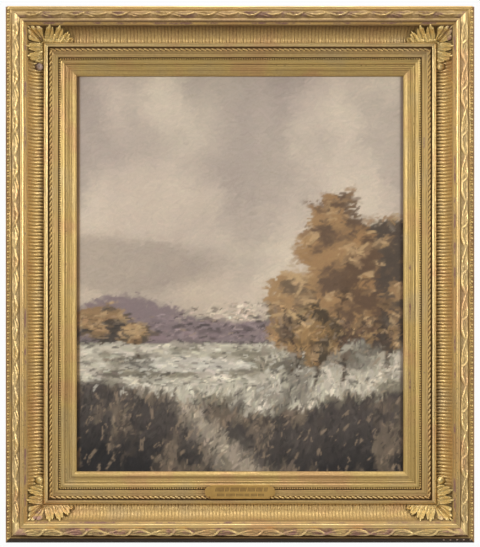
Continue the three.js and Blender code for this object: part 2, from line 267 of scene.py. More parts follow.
def rows_with_side_shade(length, side_shade):
    """The maker of straight rows for one bar, which adds its even painted shade."""
    def row(u, h, recess=0.0, burnish=0.0, bole=0.0, slot=GILT):
        return plain(length, u, h, min(1.0, recess + side_shade), burnish, bole, slot)
    return row


def each(make, *rows):
    """Rows made one after another from their sizes."""
    return [make(*sizes) for sizes in rows]


def cove_point(angle):
    """The place in the section of a point of the cove, by its angle from the lip."""
    return COVE_FOOT + COVE_WIDTH * math.sin(angle), COVE_TOP - COVE_DEPTH * math.cos(angle)


# The cove is followed by its angle in degrees, from 0 at the lip. The flutes die away at its top.
LAST_TURN = 83
FLUTES_END = 86


def fluted_rows(length, side):
    """The cove: convex reeds side by side, deep where they butt against the lip and dying away at the top."""
    reach = length / 2 + COVE_FOOT + COVE_WIDTH
    count = 2 * int(reach / FLUTE_PITCH)
    start = -count * FLUTE_PITCH / 2
    phase = np.array([i + part for i in range(count) for part in FLUTE_SLICES] + [count])
    level = side in ("top", "bottom")
    # How dark the gaps are painted, as toning and shade, and how dark and broad the painted shadow of the lip
    # along the foot of the reeds.
    gap_toning_and_shade, foot_shadow, foot_reach = {
        "top": (0.4, 0.05, 14), "bottom": (0.42, 0.0, 20)}.get(side, (0.6, 0.42, 15))
    rows = []
    for turn in (0, 4, 10, 18, 27, 36, 45, 54, 62, 70, 77, LAST_TURN):
        angle = math.radians(turn)
        u, h = cove_point(angle)
        end = length / 2 + u
        s = start + phase * FLUTE_PITCH
        keep = np.abs(s) < end - 0.3
        s, part = s[keep], phase[keep] % 1
        reed = np.sqrt(np.clip(1 - (2 * part - 1) ** 2, 0, 1))
        fading = {"top": 0.3 + 0.55 * math.exp(-turn / 16), "bottom": 0.12 + 0.5 * math.exp(-turn / 22)}.get(
            side, 1 + 0.35 * math.exp(-turn / 10) - 0.4 * math.sin(angle))
        depth = FLUTE_DEPTH * fading * min(1, (FLUTES_END - turn) / (26 if level else 14))
        sink = depth * (1 - reed)
        rise = 1.1 * math.exp(-turn / 7) * reed
        s = np.concatenate([[-end], s, [end]])
        sink, rise, dip = (np.concatenate([[0], x, [0]]) for x in (sink, rise, 1 - reed))
        foot = math.exp(-(turn / foot_reach) ** 2)
        tone = gap_toning_and_shade * dip * (0.5 + 0.5 * foot) + foot_shadow * foot
        # Painted shade: the top rail's cove darker towards its top, where it faces down, and the bottom's a
        # little darker all over.
        shade = {"top": 0.14 + 0.75 * turn / LAST_TURN,
                 "bottom": 0.22 + 0.1 * turn / LAST_TURN}.get(side, 0.0)
        # Toning and painted shade lie thick in the corners, behind the leaves.
        toning_and_shade_behind_leaf = 0.55 * np.clip((np.abs(s) - (length / 2 + COVE_FOOT - LEAF_REACH[side])) / 6, 0, 1)
        rows.append(Row(
            s, u + sink * math.sin(angle) - rise * 0.25, h - sink * math.cos(angle) + rise,
            recess=np.clip(np.maximum(tone + shade, toning_and_shade_behind_leaf), 0, 1),
            burnish=np.full(len(s), 0.0 if level else 0.35) * (1 - dip),
            bole=np.full(len(s), 0.45 if level else 0.1), slot=GILT, turned=True))
    return rows


# The garland runs this way along s, and its leaf ends slant this way.
GARLAND_WAY = {"top": (1, 1), "left": (-1, 1), "bottom": (-1, -1), "right": (1, -1)}
GARLAND_HALF = 10.5
GARLAND_REACH = 78.0
# The torus that it lies on: the middle of its section and its two half axes.
TORUS_U, TORUS_H = 82.9, 69.3
TORUS_ACROSS, TORUS_HIGH = 8.2, 9.4

# One repeat of the garland, from crossing to crossing. Each strand is a middle line (run, across), its half
# width and how far it stands up, in millimetres.
GARLAND_REPEAT = 68.0
GARLAND_STRANDS = (
    # A long closed leaf: its lower rim with the hooked end, its upper rim and its veins.
    (((0, -1), (6, -4), (14, -6.6), (22, -5.8), (28, -2.8), (32.5, 2), (35.5, 7)), 1.7, 2.9),
    (((0, -1), (5, 3), (11, 6), (20, 7.4), (29, 8), (34, 7.4)), 1.3, 1.7),
    (((2, -1), (9, 0), (18, 0.8), (27, 2.6)), 0.9, 1.7),
    (((8, -3), (15, -3.4), (23, -2.4), (28, 0.5)), 0.8, 1.3),
    (((10, 3.4), (18, 4.2), (26, 5), (31, 5.4)), 0.8, 1.3),
    # Two strands that bow round a hollow and cross over each other.
    (((34, 7), (41, 8.2), (50, 8), (58, 5), (64, 1), (70, -4)), 1.9, 2.6),
    (((36, -1), (43, -4.4), (52, -5.6), (60, -3.8), (67, 0.5), (73, 4)), 1.9, 2.4),
    (((38, 2.4), (45, 4.6), (53, 4.4), (60, 1)), 1.0, 1.4),
    (((41, 0), (49, -1), (57, -0.4)), 1.1, 0.9),
    (((30, -4.6), (36, -6), (42, -8), (46, -8.4)), 1.4, 2.0),
)


def garland_relief(s, across, length, side):
    """Height of the garland: its strands with a cut trench round each of them."""
    flow, slant = GARLAND_WAY[side]
    reach = length / 2 + GARLAND_REACH
    repeat = 2 * reach / round(2 * reach / GARLAND_REPEAT)
    run = np.mod(flow * s + reach, repeat) * GARLAND_REPEAT / repeat
    y = slant * across * GARLAND_HALF
    strands, trench = np.zeros_like(run), np.zeros_like(run)
    for line, half, rise in GARLAND_STRANDS:
        bends = len(line) - 1
        for number in range(bends):
            (r_0, y_0), (r_1, y_1) = line[number], line[number + 1]
            ahead, aside = r_1 - r_0, y_1 - y_0
            for start in (r_0 - GARLAND_REPEAT, r_0, r_0 + GARLAND_REPEAT):
                step = ((run - start) * ahead + (y - y_0) * aside) / (ahead ** 2 + aside ** 2)
                step = np.clip(step, 0, 1)
                off = np.hypot(run - start - step * ahead, y - y_0 - step * aside)
                full = np.sin(math.pi * np.clip((number + step) / bends, 0.1, 0.9)) ** 0.7
                strands = np.maximum(strands, rise * full * np.sqrt(np.clip(1 - (off / half) ** 2, 0, 1)))
                trench = np.maximum(trench, np.exp(-(off - half - 0.6) ** 2))
    inside = np.clip(1 - ((y - 0.7) / 7.4) ** 2, 0, 1) * np.clip(np.minimum(run - 1, 33 - run) / 6, 0, 1)
    ground = 0.9 * inside + 0.25 * np.cos(0.8 * run) * np.cos(1.1 * y) - trench
    return np.maximum(ground, strands)


def garland_rows(length, side):
    """The torus with its running leaves, from its inner edge over the crown to the outer one."""
    rows = []
    turns = np.linspace(113, -27, 25)
    ends = length / 2 + GARLAND_REACH
    s = np.arange(-ends + 3, ends - 3 + 1e-6, LEAF_STEP)
    # A plain smooth leaf lies over each mitre.
    inner = np.clip((ends + 6 - np.abs(s)) / 5 - 1.8, 0, 1)
    # How much bole shows, how dark the ground is painted, as toning and shade, darkest all over on the top
    # rail, and how much of that a millimetre of relief clears. All but the top rail's garland take the
    # lighter gold, as painted light.
    rubbed = {"top": 0.9, "bottom": 1.0, "left": 0.5, "right": 0.2}[side]
    ground_darkness, cleared = {"top": (0.82, 0.15), "bottom": (0.8, 0.65)}.get(side, (0.76, 0.6))
    for turn in turns:
        angle = math.radians(turn)
        across = 1 - 2 * (turn - turns[-1]) / (turns[0] - turns[-1])
        u, h = TORUS_U + TORUS_ACROSS * math.cos(angle), TORUS_H + TORUS_HIGH * math.sin(angle)
        edge = min(1.0, (1 - abs(across)) * 6)
        plain_leaf = 1.3 - 0.5 * across ** 2
        relief = (garland_relief(s, across, length, side) * inner + plain_leaf * (1 - inner)) * edge
        relief = np.concatenate([[plain_leaf * edge], relief, [plain_leaf * edge]])
        swollen = u + (relief - 0.9) * math.cos(angle)
        end = length / 2 + swollen[0]
        rows.append(Row(
            np.concatenate([[-end], s, [end]]), swollen, h + (relief - 0.9) * math.sin(angle),
            recess=np.clip(ground_darkness - cleared * relief, 0, 1) * 0.9,
            burnish=np.clip(relief - 1.2, 0, 1) * 0.8,
            bole=np.full(len(relief), rubbed) * np.clip(2.6 - relief, 0, 1),
            slot=GILT if side == "top" else RUBBED_PAINTED_LIGHT, turned=False))
    return rows


def rail_rows(length, side):
    """All the rows of one rail, round its section from the seam beside the pearls to the rebate.

    A row gives u, h, recess, which is how dark it is painted, as toning and as shade, burnish, bole and slot.
    """
    side_shade, flat_bole = RAIL_PAINTED_SHADE[side], FLAT_BOLE[side]
    row = rows_with_side_shade(length, side_shade)
    clear = rows_with_side_shade(length, 0.0)

    def outside(u, h, recess=0.0):
        return plain(length, u, h, recess, slot=SIDE_TONE)

    frieze = each(row, (26.4, 42.0, 1), (26.4, 46.4, 1), (26.8, 48.7, 0.6), (27.2, 49.3, 0.1),
                  (29.2, 49.45, 0, 0, flat_bole), (31.4, 49.45, 0, 0, flat_bole), (33.1, 49.35, 0.3))
    rope_bed = each(row, (33.5, 49.7, 0.8), (33.7, 50.7, 0.1, 0.5), (34.5, 51.1, 0, 0.7),
                    (35.5, 50.9, 0.2, 0.4), (36.1, 50.2, 0.7), (38.1, 49.9, 0.7), (40.4, 49.6, 0.8),
                    (40.6, 48.2, 1), (41.8, 48.0, 1))
    # The lip takes the lighter gold, as painted light, on all but the bottom rail, and on the top rail more
    # painted shade.
    bright = {"bottom": (GILT, side_shade + 0.08), "top": (RUBBED_PAINTED_LIGHT, 0.44)}.get(side, (RUBBED_PAINTED_LIGHT, 0.13))
    lip = [plain(length, u, h, recess + bright[1], burnish, 0.0, bright[0]) for u, h, recess, burnish in (
        (42.0, 51.4, 0.7, 0), (42.4, 53.1, 0.1, 0.8), (43.5, 53.95, 0, 1), (45.1, 54.0, 0, 1),
        (46.7, 53.8, 0, 1), (47.7, 53.1, 0, 0.9), (48.3, 52.0, 0.15, 0.7))]
    # The ridge is painted by side: the top rail's crest much darker, as shade; the bottom rail's crest and
    # the groove under it in the lighter gold, its painted shade taken back, as painted light where the ridge
    # shades them. The slope's shade differs by side.
    slope, crest = {"top": (-0.22, 0.56), "bottom": (0.07, -0.13)}.get(side, (0.15, 0.0))
    crest_slot = RUBBED_PAINTED_LIGHT if side == "bottom" else GILT
    groove = -RAIL_PAINTED_SHADE["bottom"] if side == "bottom" else 0.3
    ridge = each(row, (69.3, 74.4, 0.45), (71.0, 77.0, slope, 0, 0.9), (72.6, 79.6, slope, 0, 0.9),
                 (73.0, 80.3, 0.7))
    ridge += [row(u, h, crest, burnish, 0, crest_slot) for u, h, burnish in (
        (73.2, 81.4, 0.8), (73.8, 81.95, 1), (75.2, 81.95, 1), (75.9, 81.5, 0.8))]
    ridge += [row(u, h, groove, 0, 0, crest_slot) for u, h in (
        (76.2, 80.4), (76.9, 79.4), (78.2, 78.7), (79.2, 78.3))]
    # The bottom rail's underside is painted almost black, as shade where no light comes from below.
    underside_shade = 0.95 if side == "bottom" else 0.0
    hollow = each(clear, (90.8, 64.2, 0.9), (91.5, 62.4, 1), (93.3, 60.6, max(0.6, underside_shade)),
                  (95.3, 60.1, max(0.4, underside_shade)), (95.9, 61.0, max(0.1, underside_shade), 0.6),
                  (96.6, 61.3, 0.5 * underside_shade, 0.9), (97.7, 61.1, 0.9 * underside_shade, 0.8),
                  (98.4, 60.3, max(0.2, underside_shade)), (98.6, 58.8, max(0.4, underside_shade)))
    underside_black = 1.45 * underside_shade
    bead_bed = each(clear, (100.0, 57.2, 0.8), (101.3, 55.2, 0.9))
    roll = [plain(length, u, h, max(0.1, underside_black), slot=SIDE_TONE if underside_shade else GILT)
            for u, h in arc(100.2, 56.7, 2.3, 125, -35, 7)]
    hollow += (bead_bed if side in BEADED_SIDES else roll) + [outside(101.7, 53.4, max(0.5, underside_shade))]
    flank = [outside(u, h, max(recess, underside_black)) for u, h, recess in (
        (101.4, 51.0, 0.4), (101.8, 44.0, 0.1), (103.4, 33.0, 0.1), (105.6, 24.4, 0.1), (108.6, 16.8, 0.2),
        (111.0, 12.2, 0.3), (RAIL_OUTER - 0.3, 8.9, 0.1), (RAIL_OUTER, 8.3, 0.1), (RAIL_OUTER, 0.6, 0.5))]
    back = [row(u, h, recess, slot=BARE_BACK) for u, h, recess in (
        (RAIL_OUTER - 0.6, 0.0, 0.6), (34.6, 0.0, 0.3), (34.0, 0.6, 0.3), (34.0, 42.0, 0.8))]
    inner = frieze + rope_bed + lip + fluted_rows(length, side)
    return inner + ridge + garland_rows(length, side) + hollow + flank + back


def liner_rows(length, side):
    """The liner: sight bead, sunk flat, fillet, ovolo and the channel of the pearls."""
    row, flat_bole = rows_with_side_shade(length, LINER_PAINTED_SHADE[side]), FLAT_BOLE[side]
    sight = each(row, (0.0, 37.2, 1), (0.0, 38.6, 0.3, 0.4))
    # The sight bead takes its own painted shade, lighter on the bottom rail, where light falls on it from
    # above.
    sight += [row(u, h, 0.16 if side == "bottom" else 0.28, 0.2) for u, h in (
        (0.5, 39.7), (1.6, 41.0), (3.0, 42.3), (4.6, 43.4), (6.0, 44.1), (7.1, 44.3))]
    flat = each(row, (7.6, 43.5, 0.6), (8.5, 43.1, 0.3, 0, flat_bole), (10.8, 43.3, 0.25, 0, flat_bole),
                (11.3, 44.4, 0.05, 0.3), (12.7, 44.7, 0, 0.3), (13.9, 44.7, 0.25), (14.2, 44.9, 0.8))
    fillet = each(row, (14.25, 46.1, 0.1, 0.7), (14.6, 46.45, 0, 0.9), (16.1, 46.5, 0, 0.9),
                  (16.5, 46.2, 0.2, 0.5), (16.8, 45.8, 1))
    ovolo = each(row, (17.1, 46.4, 0.5, 0.2), (17.8, 47.5, 0.15, 0.4), (18.9, 48.4, 0.2, 0.3),
                 (20.6, 49.1, 0.15, 0.4), (22.5, 49.3, 0, 0.7), (23.2, 48.9, 0.3, 0.4))
    channel = each(row, (23.4, 47.4, 1), (24.7, 47.0, 1), (25.8, 47.0, 1), (26.0, 46.3, 1))
    flange = [row(u, h, recess, slot=BARE_BACK) for u, h, recess in (
        (26.0, 41.6, 1), (33.6, 41.6, 0.8), (33.6, 20.0, 0.4), (8.0, 20.0, 0.4), (8.0, 37.2, 0.8))]
    return sight + flat + fillet + ovolo + channel + flange


def side_piece(name, side, rows_of, materials):
    """One length of moulding, from the function that gives its rows."""
    length, place = SIDES[side]
    points, faces, slots, shades, ends, course = bar(rows_of(length, side), place)
    return finish_mesh(name, points, faces, materials, slots, shades, ends, course)


# ---- corner leaves ----

# The share of the cove's width past which the leaf leaves it, before it stands upright.
COVE_TURNS_UP = 0.985


def over_corner(p, q, lift, corner):
    """Places leaf points in the cove's corner.

    p and q run outwards from the lip's corner, and lift is the height off the wood.
    """
    across = np.maximum(np.maximum(p, q), 0.0)
    sine = np.clip(across / COVE_WIDTH, 0, COVE_TURNS_UP)
    cosine = np.sqrt(1 - sine ** 2)
    height = COVE_TOP - COVE_DEPTH * cosine + np.maximum(across - COVE_TURNS_UP * COVE_WIDTH, 0) * 1.6
    share = eased(np.clip((p - q) / 6 + 0.5, 0, 1))
    reach = np.hypot(share, 1 - share)
    x = SIGHT_WIDTH / 2 + COVE_FOOT + p - lift * sine * share / reach
    z = SIGHT_HEIGHT / 2 + COVE_FOOT + q - lift * sine * (1 - share) / reach
    return np.stack([corner[0] * x, -(height + lift * cosine), CENTRE_Z + corner[1] * z], -1)


# The lobes: base and tip (along, across), half width and sweep, in millimetres from the lip's corner. One
# lies over the mitre, and the others follow it on the two wings.
MITRE_LOBE = ((-1.0, 1.0), (-22.8, 22.8), 15.0, 0.0)
LEVEL_LOBES = (
    ((8.0, 0.5), (17.0, 23.6), 8.6, 3.8),
    ((20.5, 0.5), (31.5, 22.0), 8.2, 4.2),
    ((31.0, 0.5), (41.0, 15.4), 6.2, 3.0),
    ((38.5, 0.5), (45.5, 7.2), 3.8, 1.4),
)
UPRIGHT_LOBES = (
    ((7.0, 0.5), (14.0, 23.6), 8.4, 3.4),
    ((20.0, 0.5), (28.5, 22.0), 8.4, 3.8),
)
# The grid of points of a lobe.
LOBE_LONG = 20
LOBE_WIDE = 31


def shell(along, across, lift, recess, free):
    """Top and underside of a carved part of the leaf, as grids of (p, q, lift, recess)."""
    # The underside and the walls round it are painted fully dark, as shade under the lobe.
    under = np.minimum(free * (lift - 1.1) - 0.3 * (1 - free), lift - 0.6)
    return [(-along, across, lift, np.clip(recess, 0, 1)), (-along, across, under, np.ones_like(lift))]


def lobe(base, tip, half, sweep, fingers=3, rib=0.0, lead=0.5, fan=0.25):
    """One lobe: a cupped, fluted fan ending in fingers, its rims turned up and the finger ends curling over.

    lead is how far the longest finger lies towards the mitre, fan how far the sides open from a narrow base.
    """
    v = np.linspace(0, 1, LOBE_LONG)[:, None]
    w = np.linspace(-1, 1, LOBE_WIDE)[None, :]
    run = np.array(tip) - np.array(base)
    length = np.hypot(*run)
    along_way, across_way = run / length
    flutes = np.cos(math.pi * fingers * (w + lead))
    aside = np.abs(w + lead) / np.where(w < -lead, 1 - lead, 1 + lead)
    outline = 1 - (np.where(w < -lead, 0.13 * aside ** 2, 0.5 * aside ** 1.9) if lead else 0.5 * aside)
    x = length * v * (outline - 0.03 * (1 - flutes) ** 2 * v ** 3)
    spread = (1 - fan) * (0.95 + 0.25 * v - 0.42 * v ** 3) + fan * (0.15 + 0.85 * v ** 0.8)
    y = half * spread * w + sweep * (v ** 2 - v)
    along = base[0] + along_way * x + across_way * y
    across = np.maximum(base[1] + across_way * x - along_way * y, 0.2)
    middle = np.exp(-(w / 0.13) ** 2) * (1 - v ** 2)
    cup = 1.5 * w ** 2 * np.sin(math.pi * np.clip(v, 0.08, 0.9)) + 1.1 * v * np.exp(-((w + 0.75) / 0.2) ** 2)
    lift = 1.0 + 3.6 * v ** 1.3 + cup + (0.4 + 0.35 * v) * flutes + rib * middle
    lift = lift + 0.3 * np.cos(2 * math.pi * fingers * (w + lead))
    lift = lift - 2.2 * np.clip((v - 0.88) / 0.12, 0, 1) ** 2
    rim = np.maximum(np.exp(-((v - 0.84) / 0.1) ** 2),
                     np.exp(-((w + 0.8) / 0.16) ** 2) * np.clip(2 * v, 0, 1))
    # Painted shade and toning in the flute troughs and at the base, and painted shade everywhere but the
    # turned-up rims, which are left lighter as painted highlight.
    recess = 0.5 * np.clip(-flutes, 0, 1) ** 2 + 0.3 * np.exp(-(v / 0.08) ** 2) + 0.2 * (1 - rim)
    return shell(along, across, lift, recess * (1 - w ** 6), np.clip((v - 0.3) / 0.3, 0, 1) * np.ones_like(w))


def gathered_stem(reach):
    """The low fluted band along the lip from which the lobes spring."""
    along = np.linspace(-1.5, reach, 110)[:, None] * np.ones((1, 6))
    v = np.linspace(0, 1, 6)[None, :] * np.ones((110, 1))
    flutes = np.cos(2 * math.pi * along / 2.5)
    height = (1.9 + 0.4 * flutes) * np.sin(math.pi * (0.12 + 0.7 * v))
    height = height * np.clip((reach + 1 - along) / 6, 0.2, 1)
    return shell(along + 1.8 * v, 0.2 + 6.2 * v, height, np.clip(-0.4 * flutes, 0, 1), 0 * v)


def knob(along, across, radius):
    """A rounded curl that ends a wing."""
    v = np.linspace(-1, 1, 13)[:, None]
    w = np.linspace(-1, 1, 13)[None, :]
    x, y = v * np.sqrt(1 - w ** 2 / 2), w * np.sqrt(1 - v ** 2 / 2)
    height = 0.8 + 0.95 * radius * np.sqrt(np.clip(1 - x ** 2 - y ** 2, 0, 1))
    top = (-(along + radius * x), across + radius * y, height, 0.7 * (x ** 2 + y ** 2) ** 3)
    return [top, (top[0], top[1], 0 * height - 0.2, np.ones_like(height))]


def corner_leaf(name, corner, materials, bare_curl=False):
    """An acanthus leaf bent round one inside corner, its two wings lying along the rails."""
    level = [gathered_stem(44.0)] + [lobe(*sizes) for sizes in LEVEL_LOBES]
    upright = [gathered_stem(33.0)] + [lobe(*sizes) for sizes in UPRIGHT_LOBES] + [knob(36.8, 6.6, 6.0)]
    upright = [[(q, p, lift, recess) for p, q, lift, recess in grids] for grids in upright]
    shapes = [lobe(*MITRE_LOBE, fingers=5, rib=1.6, lead=0.0, fan=1.0)] + level + upright
    points, shades, faces, slots, start = [], [], [], [], 0
    for number, grids in enumerate(shapes):
        rows, columns = grids[0][2].shape
        size = rows * columns
        for p, q, lift, recess in grids:
            points.append(over_corner(p, q, lift, corner).reshape(-1, 3))
            worn = recess.ravel()
            bole = np.full(len(worn), 0.9 if number == 0 else 0.0)
            shades.append(np.stack([worn, np.clip(lift.ravel() / 2.6 - worn, 0, 1), bole], 1))
        i = np.arange(size).reshape(rows, columns) + start
        top = np.stack([i[:-1, :-1], i[1:, :-1], i[1:, 1:], i[:-1, 1:]], -1).reshape(-1, 4)
        rim = grid_rim(i)
        closed = np.concatenate([top, top[:, ::-1] + size, ring_wall(rim, rim + size)])
        faces.append(closed)
        slots.append(np.full(len(closed), int(bare_curl and number == len(shapes) - 1)))
        start += 2 * size
    return finish_mesh(name, np.concatenate(points), np.concatenate(faces), materials,
                       np.concatenate(slots), np.concatenate(shades), sharp=60)


# ---- rows of small ornament ----

# What each row sets: millimetres, but for the lean, in radians, and the second scale.
ROW_SIZES = ("Pitch", "Half Length", "Half Width", "Half Height", "Lean", "Second Scale")


def ornament_tree():
    """A row along straight edges: one small egg shape every pitch, leaning, every second one scaled."""
    tree = bpy.data.node_groups.new("ornament_row", "GeometryNodeTree")
    face = tree.interface
    face.new_socket("Geometry", in_out="INPUT", socket_type="NodeSocketGeometry")
    for label in ROW_SIZES:
        face.new_socket(label, in_out="INPUT", socket_type="NodeSocketFloat")
    face.new_socket("Material", in_out="INPUT", socket_type="NodeSocketMaterial")
    face.new_socket("Geometry", in_out="OUTPUT", socket_type="NodeSocketGeometry")
    sizes = add(tree, "NodeGroupInput").outputs
    path = add(tree, "GeometryNodeMeshToCurve", Mesh=sizes["Geometry"])
    spaced = add(tree, "GeometryNodeResampleCurve", {"mode": "LENGTH"}, Curve=path, Length=sizes["Pitch"])
    heading = add(tree, "ShaderNodeSeparateXYZ", _0=add(tree, "GeometryNodeInputTangent"))
    rise = add(tree, "ShaderNodeMath", {"operation": "MULTIPLY"}, _0=heading.outputs["Z"], _1=-1.0)
    turn = add(tree, "ShaderNodeMath", {"operation": "ARCTAN2"}, _0=rise, _1=heading.outputs["X"])
    leaning = add(tree, "ShaderNodeMath", {"operation": "ADD"}, _0=turn, _1=sizes["Lean"])
    angles = add(tree, "ShaderNodeCombineXYZ", Y=leaning)
    rotation = add(tree, "FunctionNodeEulerToRotation", _0=angles)
    number = add(tree, "GeometryNodeInputIndex")
    second = add(tree, "ShaderNodeMath", {"operation": "MODULO"}, _0=number, _1=2.0)
    scale = add(tree, "ShaderNodeMix", {"data_type": "FLOAT"}, _0=second, _2=1.0, _3=sizes["Second Scale"])
    egg = add(tree, "GeometryNodeMeshUVSphere", Segments=8, Rings=6, Radius=1.0)
    shape = add(tree, "ShaderNodeCombineXYZ", X=sizes["Half Length"], Y=sizes["Half Height"],
                Z=sizes["Half Width"])
    sized = add(tree, "GeometryNodeTransform", Geometry=egg, Scale=shape)
    placed = add(tree, "GeometryNodeInstanceOnPoints", Points=spaced, Instance=sized,
                 Rotation=rotation, Scale=scale)
    joined = add(tree, "GeometryNodeRealizeInstances", _0=placed)
    smooth = add(tree, "GeometryNodeSetShadeSmooth", Geometry=joined)
    finished = add(tree, "GeometryNodeSetMaterial", Geometry=smooth, Material=sizes["Material"])
    add(tree, "NodeGroupOutput", _0=finished)
    return tree


def ornament_row(name, tree, place, material, runs, sizes):
    """Runs the tree along the sides at (u, h) and returns the row as one plain mesh.

    runs gives (side, first s, last s) where the row isn't whole, and sizes what ROW_SIZES names.
    """
    u, h = place
    points, edges = [], []
    ends = {side: SIDES[side][0] / 2 + u - sizes[0] / 2 for side in SIDES}
    for side, first, last in runs or [(side, -end, end) for side, end in ends.items()]:
        edges.append((len(points), len(points) + 1))
        points += [SIDES[side][1](first, u, h), SIDES[side][1](last, u, h)]
    path = bpy.data.meshes.new(name)
    path.from_pydata((np.array(points) * MM).tolist(), edges, [])
    source = stand(name, path)
    modifier = source.modifiers.new("ornament_row", "NODES")
    modifier.node_group = tree
    sockets = {item.name: item.identifier for item in tree.interface.items_tree if item.in_out == "INPUT"}
    for label, value in zip(ROW_SIZES, sizes):
        modifier[sockets[label]] = value if label in ("Lean", "Second Scale") else value * MM
    modifier[sockets["Material"]] = material
    evaluated = source.evaluated_get(bpy.context.evaluated_depsgraph_get())
    mesh = bpy.data.meshes.new_from_object(evaluated)
    bpy.data.objects.remove(source)
    mesh.name = name
    return stand(name, mesh)


# ---- the painting ----

CANVAS_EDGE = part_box("canvas")[1].x / MM - SIGHT_WIDTH / 2
STRETCHER_BACK = -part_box("stretcher_top")[1].y / MM
# The spacing of its points, the strip tacked behind the stretcher, and the margin painted with the liner's
# shadow.
GRID_STEP = 1.86
FOLD_WIDTH = 13.0
SHADOWED_EDGE = 5.5
# The share of red, green and blue that the painted shadow takes away along the left edge and along the right
# one.
SHADOW_LEFT = np.array([0.5, 0.63, 0.77])
SHADOW_RIGHT = np.array([0.38, 0.43, 0.45])
# The thickness of the linen.
LINEN = 0.6
# The primed face lies this far behind the front of the solid, which leaves room for the paint.
PRIMED_BACK = 0.45


def drift(x, y, cells, seed, octaves=4):
    """Smooth random cloud between 0 and 1 over the unit square."""
    total, weight, sum_of = 0.0, 1.0, 0.0
    for octave in range(octaves):
        size = int(cells * 2 ** octave)
        grid = np.random.default_rng(seed + octave).random((size + 2, size + 2))
        fx, fy = np.clip(x, 0, 1) * size, np.clip(y, 0, 1) * size
        i, j = fx.astype(int), fy.astype(int)
        u, v = eased(fx - i), eased(fy - j)
        near = grid[i, j] * (1 - u) + grid[i + 1, j] * u
        far = grid[i, j + 1] * (1 - u) + grid[i + 1, j + 1] * u
        total = total + weight * (near * (1 - v) + far * v)
        sum_of += weight
        weight *= 0.55
    return total / sum_of


def step_over(edge, value, soft):
    """0 below the edge and 1 above it, with a soft passage."""
    return eased(np.clip((value - edge) / soft + 0.5, 0, 1))


def blend_in(under, hex_colour, share):
    """One colour laid over others by a share for each point."""
    return under + (np.array(linear(hex_colour)[:3]) - under) * np.asarray(share)[..., None]


# The trees: middle, foot, height and half width as shares of the picture, their leaves' colour and a seed.
TREES = (
    (0.93, 0.27, 0.34, 0.12, "57483a", 3), (0.80, 0.25, 0.43, 0.115, "7f6044", 7),
    (0.66, 0.27, 0.24, 0.085, "8f7456", 13), (0.72, 0.25, 0.17, 0.07, "5a4a30", 17),
    (0.09, 0.31, 0.105, 0.085, "564e44", 19), (0.19, 0.315, 0.06, 0.05, "746552", 29),
)


def landscape(x, y):
    """The design: cloudy evening sky, far hills, a lake meadow, autumn trees and a dark bank.

    x and y run from 0 to 1 over the picture, and the colours are linear.
    """
    colour = np.zeros(x.shape + (3,))

    def lay(hue, share):
        nonlocal colour
        colour = blend_in(colour, hue, share)

    cloud = drift(x, y, 3, 11)
    wisps = drift(x * 0.6, y, 9, 23)
    lay("cab9a8", 1 + 0 * x)
    lay("d0bda3", step_over(0.5, 1 - y + 0.5 * (wisps - 0.5), 0.9) * 0.9)
    lay("ddcdb5", step_over(0.53, cloud, 0.3) * 0.7)
    lay("93867f", step_over(0.57, drift(x, y * 0.9, 4, 41), 0.3) * 0.55)
    lay("cbb6a2", np.exp(-((y - 0.46) / 0.05) ** 2) * step_over(0.35, x, 0.6) * 0.25)
    bank = np.exp(-((x - 0.12) / 0.34) ** 2 - ((y - 0.5 - 0.04 * wisps) / 0.075) ** 2)
    lay("85786f", step_over(0.42, bank, 0.4) * 0.45)
    far = 0.385 + 0.035 * np.sin(x * 5.2 + 0.6) + 0.02 * np.sin(x * 11.7) + 0.012 * drift(x, 0 * x, 24, 5)
    lay("837272", step_over(0, far - y, 0.012) * 0.95)
    near = 0.345 + 0.028 * np.sin(x * 3.4 + 3.6) + 0.02 * drift(x, 0 * x, 30, 8)
    lay("675d58", step_over(0, near - y, 0.01) * 0.9)
    meadow = step_over(0, 0.325 - y, 0.008)
    lay("8d8470", meadow)
    lay("cfc5b0", meadow * step_over(0.5, drift(x * 0.3, y * 1.4, 16, 61), 0.16) * 0.85)
    lake = np.exp(-((x - 0.34) / 0.24) ** 2 - ((y - 0.272) / 0.022) ** 2)
    lay("d8cfbd", step_over(0.5, lake, 0.18) * 0.9)
    lay("554e44", step_over(0.58, drift(x * 0.5, y, 18, 71), 0.12) * meadow * 0.6)
    for centre, foot, tall, wide, hue, seed in TREES:
        crown = ((x - centre) / wide) ** 2 + ((y - foot - 0.58 * tall) / (0.46 * tall)) ** 2
        leafy = step_over(0.0, 1.0 - crown + 1.3 * (drift(x, y, 22, seed) - 0.5), 0.25)
        lay(hue, leafy * 0.95)
        sunny = step_over(0.52, drift(x, y, 28, seed + 100) + (centre - x) / wide * 0.16, 0.2)
        lay("b48c5a", leafy * sunny * 0.55)
        lay("332a24", leafy * (1 - sunny) * 0.5)
        lay("d0b083", leafy * step_over(0.6, drift(x, y, 34, seed + 50), 0.12) * sunny * 0.6)
        trunk = np.exp(-((x - centre - 0.012 * np.sin(y * 30)) / 0.006) ** 2)
        lay("4b3a2a", trunk * step_over(foot - 0.03, y, 0.02) * step_over(y, foot + 0.5 * tall, 0.02))
    edge = 0.2 + 0.05 * np.sin(x * 4.1 + 2.4) + 0.05 * (drift(x, 0 * x, 9, 91) - 0.5)
    bank = step_over(0, edge - y, 0.02)
    lay("4a423c", bank)
    lay("1f1c1c", bank * step_over(0.12, edge - y, 0.16))
    lay("7a6a58", bank * step_over(0.58, drift(x, y, 14, 97), 0.14) * 0.75)
    path = np.exp(-((x - 0.30 - 1.1 * (0.2 - y)) / (0.02 + 0.22 * np.clip(0.22 - y, 0, 1))) ** 2)
    lay("b3a48e", bank * path * 0.85)
    return np.clip(colour, 0, 1)


